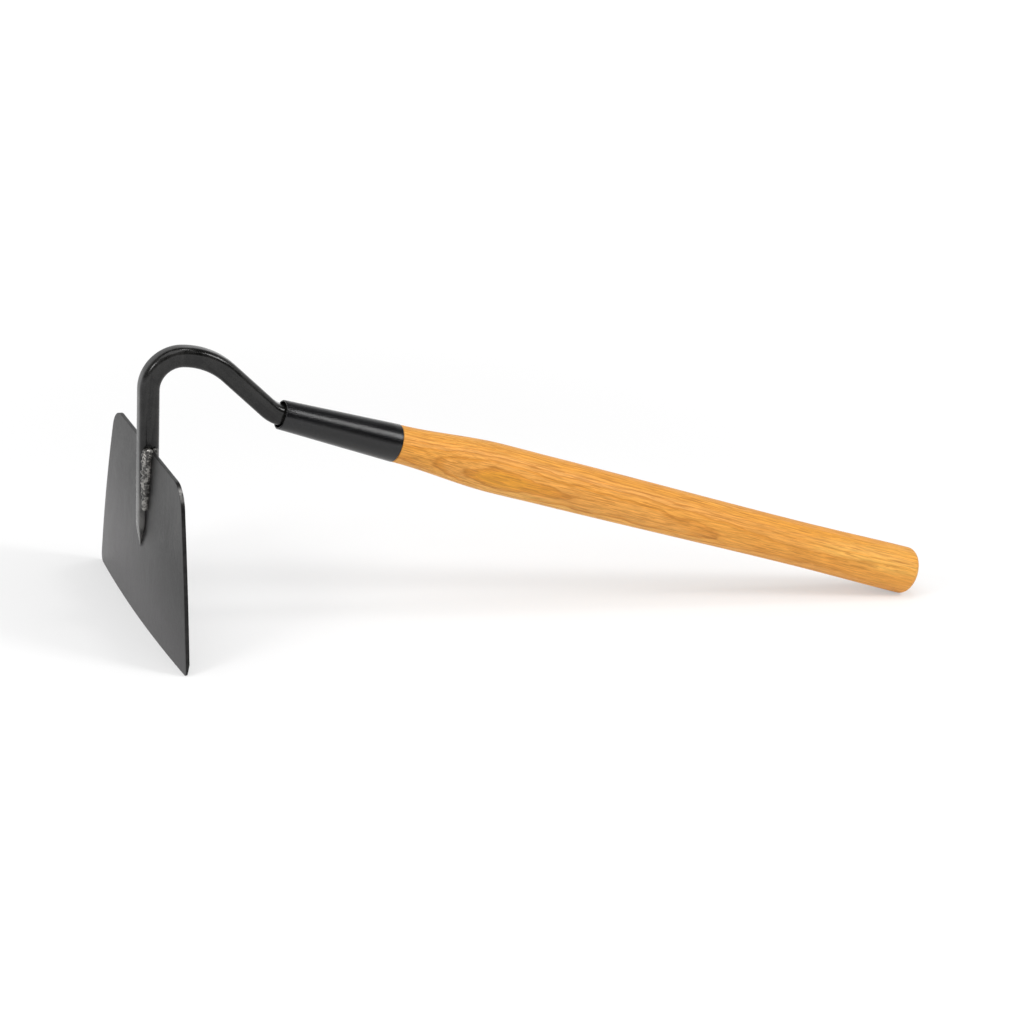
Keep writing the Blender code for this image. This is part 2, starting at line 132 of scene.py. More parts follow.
class Graph:
    """The node graph of a material or of the world."""

    def __init__(self, owner: Material | bpy.types.World) -> None:
        """Start an empty graph with its output node.

        Args:
            owner: The material or world that the graph belongs to.
        """
        owner.use_nodes = True
        self.tree = owner.node_tree
        self.tree.nodes.clear()
        kind = "World" if isinstance(owner, bpy.types.World) else "Material"
        self.output = self.node("ShaderNodeOutput" + kind)

    def node(self, kind: str, inputs: Inputs | None = None, **settings: object) -> bpy.types.Node:
        """Add a node.

        Args:
            kind: The node's type.
            inputs: What its inputs are fed.
            **settings: Its properties.

        Returns:
            The node.
        """
        made = self.tree.nodes.new(kind)
        for name, value in settings.items():
            setattr(made, name, value)
        self.feed(made, inputs or {})
        return made

    def feed(self, node: bpy.types.Node, inputs: Inputs) -> None:
        """Link or set a node's inputs.

        Args:
            node: The node.
            inputs: An input's name or number, and a signal, a socket, a number or a colour.
        """
        for key, value in inputs.items():
            socket = node.inputs[key]
            if isinstance(value, Signal):
                value = value.socket
            if isinstance(value, Socket):
                self.tree.links.new(value, socket)
            elif isinstance(value, (tuple, list)) and socket.type == "RGBA":
                socket.default_value = (*value[:3], 1.0)
            else:
                socket.default_value = value

    def math(self, operation: str, first: Signal | float, second: Signal | float = 0.0) -> Signal:
        """Add one sum to the graph."""
        node = self.node("ShaderNodeMath", {0: first, 1: second}, operation=operation)
        return Signal(self, node.outputs[0])

    def mix(self, share: Signal, first: Signal | float, second: Signal | float) -> Signal:
        """Go from one number to another while the share goes from 0 to 1."""
        node = self.node("ShaderNodeMix", {0: share, 2: first, 3: second})
        return Signal(self, node.outputs[0])

    def place(self, matrix: Matrix) -> Socket:
        """Read the object's coordinates in a frame of the piece's own.

        Args:
            matrix: The frame, in the coordinates of the whole tool.

        Returns:
            The coordinates as a vector.
        """
        inverse = matrix.inverted()
        source = self.node("ShaderNodeTexCoord").outputs["Object"]
        turned = self.node("ShaderNodeMapping", {
            "Vector": source, "Location": inverse.to_translation(), "Rotation": inverse.to_euler()})
        return turned.outputs[0]

    def parts(self, vector: Socket) -> tuple[Signal, Signal, Signal]:
        """Split a vector into its three numbers."""
        node = self.node("ShaderNodeSeparateXYZ", {0: vector})
        return tuple(Signal(self, socket) for socket in node.outputs)

    def noise(self, vector: Socket, lumps: float | Triple, detail: float, roughness: float,
              distortion: float = 0.0) -> Signal:
        """Add a cloudy noise about 0.5.

        Args:
            vector: The coordinates.
            lumps: Lumps a metre, or lumps a metre along each axis.
            detail: How many finer layers it has.
            roughness: How strong these are.
            distortion: How much it swirls.

        Returns:
            The noise.
        """
        if isinstance(lumps, tuple):
            vector = self.node("ShaderNodeMapping", {"Vector": vector, "Scale": lumps}).outputs[0]
            lumps = 1.0
        node = self.node("ShaderNodeTexNoise", {
            "Vector": vector, "Scale": lumps, "Detail": detail, "Roughness": roughness,
            "Distortion": distortion})
        return Signal(self, node.outputs[0])

    def blend(self, share: Signal | float, first: object, second: object,
              kind: str = "MIX") -> Socket:
        """Mix two colours.

        Args:
            share: How much of the second.
            first: The colour below.
            second: The colour above.
            kind: How they mix.

        Returns:
            The mixed colour.
        """
        node = self.node("ShaderNodeMix", {0: share, 6: first, 7: second}, data_type="RGBA",
                         blend_type=kind)
        return node.outputs[2]

    def shade(self, colour: object, light: Signal) -> Socket:
        """Make a colour lighter or darker by a number about 1."""
        grey = self.node("ShaderNodeCombineColor", {0: light, 1: light, 2: light})
        return self.blend(1.0, colour, grey.outputs[0], "MULTIPLY")

    def relief(self, *layers: tuple[Signal, float]) -> Socket:
        """Raise the surface by several bumps, each on the one before.

        Args:
            *layers: A height from 0 to 1, and what a height of 1 measures.

        Returns:
            The surface's direction.
        """
        below = {}
        for height, distance in layers:
            node = self.node("ShaderNodeBump", {"Height": height, "Distance": distance, **below})
            below = {"Normal": node.outputs[0]}
        return below["Normal"]

    def surface(self, **inputs: object) -> None:
        """Finish the graph with one principled shader.

        Args:
            **inputs: The shader's inputs, with _ for a space.
        """
        fed = {name.replace("_", " "): value for name, value in inputs.items()}
        shader = self.node("ShaderNodeBsdfPrincipled", fed)
        self.feed(self.output, {"Surface": shader.outputs[0]})


# Shaping

def finished(name: str, bm: Shape, materials: list[Material]) -> Object:
    """Turn a bmesh into an object that is shaded smooth up to its creases.

    Args:
        name: The piece's name.
        bm: Its shape, which is used up.
        materials: Its materials, in slot order.

    Returns:
        The object.
    """
    mesh = bpy.data.meshes.new(name)
    bm.to_mesh(mesh)
    bm.free()
    for material in materials:
        mesh.materials.append(material)
    mesh.shade_smooth()
    mesh.set_sharp_from_angle(angle=CREASE)
    piece = bpy.data.objects.new(name, mesh)
    bpy.context.scene.collection.objects.link(piece)
    return piece


def settle(piece: Object) -> None:
    """Turn a piece's modifiers into its mesh.

    Args:
        piece: The piece.
    """
    bpy.context.view_layer.update()
    graph = bpy.context.evaluated_depsgraph_get()
    shaped = bpy.data.meshes.new_from_object(piece.evaluated_get(graph), depsgraph=graph)
    piece.modifiers.clear()
    rough = piece.data
    piece.data = shaped
    bpy.data.meshes.remove(rough)


def rounded_edges(piece: Object, width: float, segments: int, angle: float) -> None:
    """Round a piece's sharp edges with a bevel.

    Args:
        piece: The piece.
        width: The bevel's width.
        segments: Faces across it.
        angle: Edges sharper than this many degrees are rounded.
    """
    bevel = piece.modifiers.new("rounding", "BEVEL")
    bevel.width = width
    bevel.segments = segments
    bevel.limit_method = "ANGLE"
    bevel.angle_limit = math.radians(angle)


def box_cutter(low: Triple, high: Triple, matrix: Matrix) -> Object:
    """Make a box that cuts other pieces.

    Args:
        low: Its lowest corner, in its own frame.
        high: Its highest corner.
        matrix: That frame.

    Returns:
        The box.
    """
    bm = bmesh.new()
    bmesh.ops.create_cube(bm, size=1.0)
    bmesh.ops.scale(bm, vec=[b - a for a, b in zip(low, high)], verts=bm.verts)
    bmesh.ops.translate(bm, vec=[(a + b) / 2 for a, b in zip(low, high)], verts=bm.verts)
    bmesh.ops.transform(bm, matrix=matrix, verts=bm.verts)
    return finished("cutter", bm, [])


def cut(piece: Object, cutters: list[Object]) -> None:
    """Take the cutters away from a piece, and then remove them.

    Args:
        piece: The piece.
        cutters: What is cut out of it.
    """
    for cutter in cutters:
        trim = piece.modifiers.new("cut", "BOOLEAN")
        trim.operation = "DIFFERENCE"
        trim.object = cutter
    settle(piece)
    for cutter in cutters:
        bpy.data.meshes.remove(cutter.data)


def turned(outline: list[Pair], steps: int, matrix: Matrix, closed: bool = False) -> Shape:
    """Turn an outline about its own Z axis, as on a lathe.

    Args:
        outline: Radii and heights, in order.
        steps: Faces round the axis.
        matrix: The frame of that axis.
        closed: Whether the outline's end meets its start, as in a tube's wall.

    Returns:
        The turned shape.
    """
    bm = bmesh.new()
    first = last = bm.verts.new((outline[0][0], 0.0, outline[0][1]))
    for radius, height in outline[1:]:
        last = bmesh.ops.extrude_vert_indiv(bm, verts=[last])["verts"][0]
        last.co = (radius, 0.0, height)
    if closed:
        bm.edges.new((last, first))
    bmesh.ops.spin(bm, geom=bm.verts[:] + bm.edges[:], cent=(0, 0, 0), axis=(0, 0, 1),
                   angle=math.tau, steps=steps, use_merge=True)
    bmesh.ops.remove_doubles(bm, verts=bm.verts, dist=MERGE)
    bmesh.ops.recalc_face_normals(bm, faces=bm.faces)
    bmesh.ops.transform(bm, matrix=matrix, verts=bm.verts)
    return bm


def arc(centre: Pair, radius: float, start: float, end: float, steps: int) -> list[Pair]:
    """Give the points of an arc.

    Args:
        centre: Its centre.
        radius: Its radius.
        start: The first angle, in degrees.
        end: The last angle.
        steps: Chords along it.

    Returns:
        The points.
    """
    angles = [math.radians(start + (end - start) * i / steps) for i in range(steps + 1)]
    return [(centre[0] + radius * math.cos(a), centre[1] + radius * math.sin(a)) for a in angles]


def ease(share: float) -> float:
    """Ease a share from 0 to 1."""
    return share * share * (3 - 2 * share)


# Frames that the pieces share

@dataclass(frozen=True)
class GripAxis:
    """The axis of the handle and the ferrule, which falls towards the butt."""

    butt: Triple = (0.270382, 0.0, 0.01403)
    slope: float = math.radians(14.35)
    handle_length: float = 388.0 * MM
    ferrule_length: float = 79.0 * MM

    @property
    def along(self) -> Vector:
        """The direction from the neck to the butt."""
        return Vector((math.cos(self.slope), 0.0, -math.sin(self.slope)))

    @property
    def mouth(self) -> Vector:
        """The middle of the ferrule's open end."""
        return Vector(self.butt) - self.along * (self.handle_length + self.ferrule_length)

    def frame_at(self, place: Vector) -> Matrix:
        """A frame with +Z towards the neck and +X nearly up."""
        return Matrix.Translation(place) @ Matrix.Rotation(self.slope - math.pi / 2, 4, "Y")


@dataclass(frozen=True)
class BladePlane:
    """The blade's outer face, from which the weld and the bar's foot are placed."""

    corner_x: float = -258.217 * MM
    width: float = 190.5 * MM
    top_width: float = 143.5 * MM
    height: float = 110.0 * MM
    thickness: float = 2.4 * MM
    dish: float = 3.0 * MM
    lean: float = 6.5 * MM
    side_bow: float = 2.3 * MM

    @property
    def slope(self) -> float:
        """How far the middle line leans out at the top."""
        return math.atan((self.lean - self.dish) / self.height)

    def face_x(self, across: float, height: float) -> float:
        """The x of the outer face at a height over the cutting edge and a place across it."""
        share, bow = height / self.height, 1 - (across / (self.width / 2)) ** 2
        return self.corner_x - self.lean * share - self.dish * (1 - share) * bow

    def frame_at(self, height: float) -> Matrix:
        """A frame on the middle line: X inward, Y across, Z up along the face."""
        place = Vector((self.face_x(0.0, height), 0.0, height))
        return Matrix.Translation(place) @ Matrix.Rotation(-self.slope, 4, "Y")


GRIP = GripAxis()
PLANE = BladePlane()


# Finishes

class Finish:
    """A procedural material, which each finish paints in its own way.

    Its lumps are how many there are in a metre, alike or different along the three axes.
    """

    name: str

    def paint(self, g: Graph) -> None:
        """Fill the material's empty graph."""
        raise NotImplementedError

    def material(self) -> Material:
        """Build the material.

        Returns:
            The material.
        """
        material = bpy.data.materials.new(self.name)
        self.paint(Graph(material))
        return material


@dataclass(frozen=True)
class PlateSteel(Finish):
    """Dark oxide on rolled plate, with fine upright mill marks and faint clouds."""

    name: str = "plate_steel"
    dark: Colour = (0.004, 0.004, 0.004)
    light: Colour = (0.018, 0.0175, 0.0178)
    dry_and_painted_light: Colour = (0.094, 0.0905, 0.0925)
    dry_and_light_height: float = 85.0 * MM
    mill_lumps: Triple = (200.0, 900.0, 14.0)
    broad_lumps: Triple = (60.0, 120.0, 7.0)
    cloud_lumps: float = 26.0
    mottle_lumps: float = 420.0
    grain_lumps: float = 2600.0
    roughness: Pair = (0.3, 0.42)

    def paint(self, g: Graph) -> None:
        """Paint the plate, paler towards its lower far corner, partly as dry wear and partly as painted
        light.

        Args:
            g: The material's graph.
        """
        here = g.place(PLANE.frame_at(0.0))
        marks = g.noise(here, self.mill_lumps, 4.0, 0.6)
        broad = g.noise(here, self.broad_lumps, 3.0, 0.6)
        clouds = g.noise(here, self.cloud_lumps, 4.0, 0.62, 0.4)
        grain = g.noise(here, self.grain_lumps, 2.0, 0.6)
        mottle = g.noise(here, self.mottle_lumps, 4.0, 0.7)
        tone = clouds * 0.42 + mottle * 0.38 + marks * 0.1 + broad * 0.1
        colour = g.blend(tone.window(0.4, 0.6), self.dark, self.light)
        x, y, z = g.parts(here)
        # Painted light: the pale dry tone towards the lower far corner also stands in for that part's
        # brighter reflections.
        dry_and_light_share = (z - y * 0.35).window(0.0, self.dry_and_light_height, 1.0, 0.0)
        colour = g.blend(dry_and_light_share * tone.window(0.36, 0.64, 0.6, 1.04), colour, self.dry_and_painted_light)
        colour = g.shade(colour, grain.window(0.3, 0.7, 0.8, 1.2))
        rough = (clouds * 0.45 + mottle * 0.4 + marks * 0.15).window(0.35, 0.65, *self.roughness)
        lie = g.relief((marks, 0.02 * MM), (grain, 0.025 * MM), (mottle, 0.055 * MM),
                       (clouds, 0.3 * MM))
        g.surface(Base_Color=colour, Roughness=rough, Normal=lie, Specular_IOR_Level=0.19)


@dataclass(frozen=True)
class ShearedEdge(Finish):
    """The plate's cut edge, nearly black, worn bright at the top corners, partly as a painted
    highlight.
    """

    name: str = "sheared_edge"
    dark: Colour = (0.006, 0.0058, 0.0058)
    light: Colour = (0.02, 0.019, 0.019)
    worn_highlight: Colour = (0.45, 0.44, 0.43)
    corner: Pair = (68.5 * MM, 103.5 * MM)
    worn_highlight_reach: Pair = (2.5 * MM, 6.5 * MM)
    shear_lumps: Triple = (40.0, 700.0, 500.0)
    spot_lumps: float = 160.0

    def paint(self, g: Graph) -> None:
        """Paint the edge.

        Args:
            g: The material's graph.
        """
        here = g.place(PLANE.frame_at(0.0))
        marks = g.noise(here, self.shear_lumps, 4.0, 0.6)
        spots = g.noise(here, self.spot_lumps, 4.0, 0.6)
        tone = marks * 0.5 + spots * 0.5
        colour = g.blend(tone.window(0.35, 0.65), self.dark, self.light)
        x, y, z = g.parts(here)
        # Painted highlight: the bright worn patch near each top corner is partly wear and partly a
        # painted highlight.
        beside = g.math("ABSOLUTE", y) - self.corner[0]
        above = z - self.corner[1]
        reach = g.math("SQRT", beside * beside + above * above)
        worn_highlight = reach.window(*self.worn_highlight_reach, 1.0, 0.0) * spots.window(0.36, 0.56)
        colour = g.blend(worn_highlight * 0.6, colour, self.worn_highlight)
        g.surface(Base_Color=colour, Metallic=worn_highlight * 0.5, Normal=g.relief((marks, 0.05 * MM)),
                  Specular_IOR_Level=0.2, Roughness=spots.window(0.3, 0.7, 0.28, 0.42))


@dataclass(frozen=True)
class ForgedBar(Finish):
    """The oiled black bar, with faint forge scale and fine marks along it."""

    name: str = "forged_bar"
    dark: Colour = (0.002, 0.002, 0.0019)
    light: Colour = (0.016, 0.0155, 0.015)
    scaled: Colour = (0.078, 0.076, 0.073)
    join_shade: Colour = (0.0012, 0.0012, 0.0012)
    leg_slope: float = math.radians(40.0)
    upright_lumps: Triple = (520.0, 520.0, 24.0)
    sloping_lumps: Triple = (24.0, 520.0, 520.0)
    scale_lumps: float = 95.0
    grain_lumps: float = 1500.0
    roughness: Pair = (0.16, 0.25)

    def paint(self, g: Graph) -> None:
        """Paint the bar, scaled on its foot, with painted shade where it meets the blade's top over the
        weld.

        Args:
            g: The material's graph.
        """
        here = g.place(Matrix.Translation(PLANE.frame_at(PLANE.height).to_translation()))
        x, y, z = g.parts(here)
        upright = g.noise(here, self.upright_lumps, 4.0, 0.6)
        leg = g.place(Matrix.Rotation(self.leg_slope, 4, "Y"))
        sloping = g.noise(leg, self.sloping_lumps, 4.0, 0.6)
        marks = upright + (sloping - upright) * x.window(8 * MM, 40 * MM)
        scale = g.noise(here, self.scale_lumps, 5.0, 0.62, 0.5)
        grain = g.noise(here, self.grain_lumps, 3.0, 0.6)
        tone = scale * 0.4 + marks * 0.35 + grain * 0.25
        colour = g.blend(tone.window(0.4, 0.6), self.dark, self.light)
        foot = z.window(-40 * MM, -8 * MM, 1.0, 0.0) * scale.window(0.3, 0.6, 0.45, 1.0)
        colour = g.blend(foot, colour, self.scaled)
        # Painted shade: a dark band on the bar just above the blade's top edge, where the two meet.
        join_shade_mask = z.window(-2 * MM, 1 * MM) * z.window(3 * MM, 8 * MM, 0.75, 0.0)
        colour = g.blend(join_shade_mask, colour, self.join_shade)
        g.surface(Base_Color=colour, Specular_IOR_Level=0.35,
                  Roughness=scale.window(0.3, 0.7, *self.roughness),
                  Normal=g.relief((scale, 0.2 * MM), (grain, 0.02 * MM)))


@dataclass(frozen=True)
class WeldMetal(Finish):
    """Weld under thin black oxide, worn bright on its high lumps, with painted glints on them."""

    name: str = "weld_metal_finish"
    dark: Colour = (0.016, 0.015, 0.014)
    light: Colour = (0.11, 0.106, 0.1)
    bright: Colour = (0.68, 0.66, 0.62)
    blotch_lumps: float = 420.0
    grain_lumps: float = 1900.0

    def paint(self, g: Graph) -> None:
        """Paint the weld, with its worn lumps and painted glints brightest at the beads' upper ends.

        Args:
            g: The material's graph.
        """
        here = g.place(PLANE.frame_at(PLANE.height))
        blotches = g.noise(here, self.blotch_lumps, 4.0, 0.65)
        grain = g.noise(here, self.grain_lumps, 3.0, 0.6)
        tone = blotches * 0.7 + grain * 0.3
        colour = g.blend(tone.window(0.36, 0.64), self.dark, self.light)
        x, y, z = g.parts(here)
        crater = z.window(-8 * MM, -3 * MM)
        # Painted glints: the bright lumps are partly worn metal and partly painted highlights, most of
        # them near the upper ends.
        worn_highlight = blotches.window(0.5, 0.58) * (crater * 0.62 + 0.38) * x.window(0.0, 1 * MM, 1.0, 0.1)
        colour = g.blend(worn_highlight * 0.85, colour, self.bright)
        g.surface(Base_Color=colour, Metallic=worn_highlight * 0.8,
                  Normal=g.relief((blotches, 0.32 * MM), (grain, 0.05 * MM)),
                  Roughness=blotches.window(0.3, 0.7, 0.42, 0.26))


@dataclass(frozen=True)
class FerrulePaint(Finish):
    """Black satin paint on steel, with a fine orange peel."""

    name: str = "ferrule_paint"
    dark: Colour = (0.003, 0.003, 0.0034)
    light: Colour = (0.007, 0.007, 0.0078)
    dusty: Colour = (0.06, 0.06, 0.063)
    drawn_lumps: Triple = (420.0, 420.0, 30.0)
    dust_lumps: float = 1700.0
    roughness: Pair = (0.18, 0.26)

    def paint(self, g: Graph) -> None:
        """Paint the ferrule.

        Args:
            g: The material's graph.
        """
        here = g.place(GRIP.frame_at(GRIP.mouth))
        drawn = g.noise(here, self.drawn_lumps, 3.0, 0.6)
        dust = g.noise(here, self.dust_lumps, 2.0, 0.7)
        colour = g.blend(drawn.window(0.3, 0.7), self.dark, self.light)
        colour = g.blend(dust.window(0.6, 0.72) * 0.6, colour, self.dusty)
        g.surface(Base_Color=colour, Specular_IOR_Level=0.45,
                  Roughness=(drawn * 0.5 + dust * 0.5).window(0.35, 0.65, *self.roughness),
                  Normal=g.relief((dust, 0.08 * MM), (drawn, 0.03 * MM)))


@dataclass(frozen=True)
class TurnedOak(Finish):
    """Honey coloured oak under satin lacquer, from growth rings round an offset pith.

    The handle's frame has its origin at the butt, and its Z runs to the neck.
    """

    name: str = "turned_oak"
    pith: Pair = (12.0 * MM, 43.0 * MM)
    tilt: Pair = (0.01, -0.012)
    ring: float = 1.9 * MM
    wave_depth: float = 3.6 * MM
    ripple_depth: float = 1.9 * MM
    streak_depth: float = 0.8 * MM
    wave_lumps: Triple = (30.0, 30.0, 11.0)
    ripple_lumps: Triple = (130.0, 130.0, 55.0)
    streak_lumps: Triple = (420.0, 420.0, 14.0)
    drift_lumps: Triple = (45.0, 45.0, 7.0)
    fibre_lumps: Triple = (1250.0, 1250.0, 60.0)
    grain_lumps: Triple = (700.0, 700.0, 36.0)
    vessel_lumps: Triple = (1300.0, 1300.0, 65.0)
    dash_lumps: Triple = (1000.0, 1000.0, 45.0)
    line: Colour = (0.52, 0.2, 0.028)
    early: Colour = (0.66, 0.268, 0.036)
    late_warm: Colour = (0.735, 0.318, 0.032)
    late_pink: Colour = (0.745, 0.34, 0.07)
    late_pale_and_painted_light: Colour = (0.82, 0.45, 0.1)
    pore: Colour = (0.37, 0.14, 0.026)

    def rings(self, g: Graph, here: Socket) -> tuple[Signal, Signal]:
        """Cut through the growth rings.

        Args:
            g: The material's graph.
            here: Coordinates in the handle's frame.

        Returns:
            How far through its ring a place is, and a random number for each ring.
        """
        x, y, z = g.parts(here)
        wave = g.noise(here, self.wave_lumps, 2.0, 0.5)
        ripple = g.noise(here, self.ripple_lumps, 2.0, 0.5)
        streak = g.noise(here, self.streak_lumps, 3.0, 0.6)
        across = x - self.pith[0] + z * self.tilt[0]
        deep = y - self.pith[1] + z * self.tilt[1]
        reach = g.math("SQRT", across * across + deep * deep)
        reach = reach + (wave - 0.5) * self.wave_depth + (ripple - 0.5) * self.ripple_depth
        ring = (reach + (streak - 0.5) * self.streak_depth) / self.ring
        year = g.node("ShaderNodeTexWhiteNoise", {"W": g.math("FLOOR", ring)}, noise_dimensions="1D")
        return g.math("FRACT", ring), Signal(g, year.outputs[0])

    def paint(self, g: Graph) -> None:
        """Paint the rings, and the fibres and pores over them.

        Args:
            g: The material's graph.
        """
        here = g.place(GRIP.frame_at(Vector(GRIP.butt)))
        x, y, z = g.parts(here)
        phase, tint = self.rings(g, here)
        drift = g.noise(here, self.drift_lumps, 2.0, 0.5)
        late = g.blend(tint.window(0.3, 0.7), self.late_warm, self.late_pink)
        late = g.blend(drift.window(0.5, 0.68) * 0.8, late, self.late_pale_and_painted_light)
        figure = z.window(0.05, 0.24, 0.45, 1.0)
        late = g.blend(x.window(2 * MM, 9 * MM) * figure * 0.5, late, self.late_pink)
        # Painted light: the lower side of the ferrule half is paler, as if lit from below.
        late = g.blend(x.window(-13 * MM, -5 * MM, 1.0, 0.0) * figure * 0.6, late, self.late_pale_and_painted_light)
        ripe = phase.window(0.05, 0.5) * figure + g.math("SUBTRACT", 1.0, figure) * 0.8
        colour = g.blend(ripe, self.early, late)
        dark = g.math("MAXIMUM", phase.window(0.88, 1.0), phase.window(0.0, 0.12, 1.0, 0.0))
        colour = g.blend(dark * figure * (tint * 0.35 + 0.5), colour, self.line)

        fibre = g.noise(here, self.fibre_lumps, 3.0, 0.7)
        grain = g.noise(here, self.grain_lumps, 2.0, 0.6)
        vessel = g.noise(here, self.vessel_lumps, 1.0, 0.5)
        dash = g.noise(here, self.dash_lumps, 2.0, 0.6)
        porous = vessel.window(0.58, 0.65) * phase.window(0.35, 0.8, 1.0, 0.45)
        colour = g.shade(colour, fibre.window(0.28, 0.72, 0.8, 1.16))
        colour = g.shade(colour, grain.window(0.28, 0.72, 0.94, 1.05))
        colour = g.blend(dash.window(0.58, 0.62) * (figure * 0.6 + 0.05), colour, self.line)
        colour = g.blend(porous * 0.5, colour, self.pore)
        lie = g.relief((g.math("SUBTRACT", 1.0, porous), 0.05 * MM), (fibre, 0.02 * MM))
        g.surface(Base_Color=colour, Normal=lie, IOR=1.45, Specular_IOR_Level=0.3,
                  Roughness=(fibre * 0.4 + porous * 0.6).window(0.2, 0.8, 0.5, 0.62))


# Pieces

def set_out(piece: Object, node: str) -> Object:
    """Tie a piece to the frame.

    Args:
        piece: The finished piece.
        node: The solid that it stands for.

    Returns:
        The piece.
    """
    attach(piece, BODY)
    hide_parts(node)
    return piece


@dataclass
class Blade:
    """The dished plate, ground at its lower edge, with its near side at -Y."""

    top_corner: float = 12.0 * MM
    near_corner: float = 2.5 * MM
    far_corner: float = 6.0 * MM
    edge_thickness: float = 0.9 * MM
    grind_height: float = 7.0 * MM
    rounding: float = 0.45 * MM
    columns: int = 40
    rows: int = 44
    corner_steps: int = 10
    waviness: float = 0.12 * MM
    wave_scale: float = 16.0

    def half_width(self, height: float, lower_corner: float) -> float:
        """Half the blade's width at a height, with its rounded corners.

        Args:
            height: The height over the cutting edge.
            lower_corner: The radius of that side's lower corner.

        Returns:
            The distance from the middle to the side edge.
        """
        share = height / PLANE.height
        width = PLANE.width / 2 + (PLANE.top_width - PLANE.width) / 2 * share
        width += PLANE.side_bow * 4 * share * (1 - share)
        for over, radius in ((height - (PLANE.height - self.top_corner), self.top_corner),
                             (lower_corner - height, lower_corner)):
            if over > 0:
                width -= radius - math.sqrt(max(0.0, radius ** 2 - over ** 2))
        return width

    def heights(self) -> list[float]:
        """Space the rows, closer together round the corners.

        Returns:
            Their heights over the cutting edge.
        """
        steps = self.corner_steps
        quarter = [math.radians(90) * i / steps for i in range(steps + 1)]
        lower = [self.far_corner * (1 - math.cos(angle)) for angle in quarter]
        top = PLANE.height - self.top_corner
        upper = [top + self.top_corner * math.sin(angle) for angle in quarter]
        start = self.grind_height
        middle = [start + (top - start) * i / self.rows for i in range(self.rows)]
        return lower + middle + upper

    def shape(self) -> Shape:
        """Bend a grid into the outer face.

        Returns:
            The face, with the share of the plate's thickness as a vertex weight.
        """
        heights = self.heights()
        rows = len(heights) - 1
        bm = bmesh.new()
        bmesh.ops.create_grid(bm, x_segments=self.columns * 2, y_segments=rows, size=1.0)
        weight = bm.verts.layers.deform.verify()
        for vert in bm.verts:
            height = heights[round((vert.co.y + 1) / 2 * rows)]
            corner = self.far_corner if vert.co.x > 0 else self.near_corner
            across = vert.co.x * self.half_width(height, corner)
            x = PLANE.face_x(across, height)
            x += noise.noise(Vector((across, height, 0.3)) * self.wave_scale) * self.waviness
            vert.co = (x, across, height)
            ground = min(1.0, height / self.grind_height)
            share = self.edge_thickness / PLANE.thickness
            vert[weight][0] = share + (1 - share) * ground
        bmesh.ops.recalc_face_normals(bm, faces=bm.faces)
        bm.faces.ensure_lookup_table()
        if bm.faces[0].normal.x > 0:
            bmesh.ops.reverse_faces(bm, faces=bm.faces)
        return bm

    def build(self) -> Object:
        """Build and dress the blade.

        Returns:
            The blade.
        """
        piece = finished("hoe_blade", self.shape(), [PlateSteel().material(), ShearedEdge().material()])
        piece.vertex_groups.new(name="thickness")
        plate = piece.modifiers.new("thickness", "SOLIDIFY")
        plate.thickness = PLANE.thickness
        plate.offset = -1.0
        plate.use_even_offset = True
        plate.vertex_group = "thickness"
        plate.material_offset_rim = 1
        rounded_edges(piece, self.rounding, 3, 55.0)
        settle(piece)
        return set_out(piece, "blade")


class Sweep:
    """A rounded square ring that is drawn along a path in the plane y = 0."""

    corner_steps: int = 8
    bend_step: float = math.radians(3.0)

    def __init__(self, side: float, corner: float, place: Vector, slope: float) -> None:
        """Lay the first ring.

        Args:
            side: The square's side.
            corner: The radius of its corners.
            place: The ring's centre.
            slope: The path's fall towards the butt there.
        """
        self.bm = bmesh.new()
        self.place = place.copy()
        self.slope = slope
        bmesh.ops.create_grid(self.bm, x_segments=1, y_segments=1, size=side / 2)
        bmesh.ops.bevel(self.bm, geom=self.bm.verts[:], offset=corner, affect="VERTICES",
                        segments=self.corner_steps, profile=0.5, material=-1)
        bmesh.ops.delete(self.bm, geom=self.bm.faces[:], context="FACES_ONLY")
        turn = Matrix((self.right, Vector((0.0, 1.0, 0.0)), self.heading)).transposed().to_4x4()
        bmesh.ops.transform(self.bm, matrix=Matrix.Translation(place) @ turn, verts=self.bm.verts)
        self.ring = self.bm.edges[:]
        self.close()

    @property
    def heading(self) -> Vector:
        """The direction of the path, away from the butt."""
        return Vector((-math.cos(self.slope), 0.0, math.sin(self.slope)))

    @property
    def right(self) -> Vector:
        """The direction across the path, in its plane."""
        return Vector((self.heading.z, 0.0, -self.heading.x))

    def close(self) -> None:
        """Close the ring with a face."""
        bmesh.ops.contextual_create(self.bm, geom=self.ring)

    def take(self, made: list[bmesh.types.BMVert | bmesh.types.BMEdge]) -> list[bmesh.types.BMVert]:
        """Keep the newest ring.

        Args:
            made: What an operator drew, with that ring in it.

        Returns:
            The ring's vertices.
        """
        verts = [item for item in made if isinstance(item, bmesh.types.BMVert)]
        corners = set(verts)
        self.ring = [item for item in made
                     if isinstance(item, bmesh.types.BMEdge) and corners.issuperset(item.verts)]
        return verts

    def straight(self, distance: float, scale: float = 1.0) -> None:
        """Draw the ring straight on.

        Args:
            distance: How far.
            scale: The ring's size at the end, as a share of its size at the start.
        """
        verts = self.take(bmesh.ops.extrude_edge_only(self.bm, edges=self.ring)["geom"])
        bmesh.ops.translate(self.bm, vec=self.heading * distance, verts=verts)
        self.place += self.heading * distance
        bmesh.ops.scale(self.bm, vec=(scale, scale, scale), verts=verts,
                        space=Matrix.Translation(-self.place))

    def bend(self, slope: float, radius: float) -> None:
        """Draw the ring round an arc.

        Args:
            slope: The slope at the arc's end.
            radius: The arc's radius.
        """
        change = slope - self.slope
        centre = self.place + self.right * math.copysign(radius, change)
        verts = list({vert for edge in self.ring for vert in edge.verts})
        made = bmesh.ops.spin(self.bm, geom=verts + self.ring, cent=centre, axis=(0, 1, 0),
                              angle=change, steps=math.ceil(abs(change) / self.bend_step))
        self.take(made["geom_last"])
        self.place = centre + Matrix.Rotation(change, 3, "Y") @ (self.place - centre)
        self.slope = slope


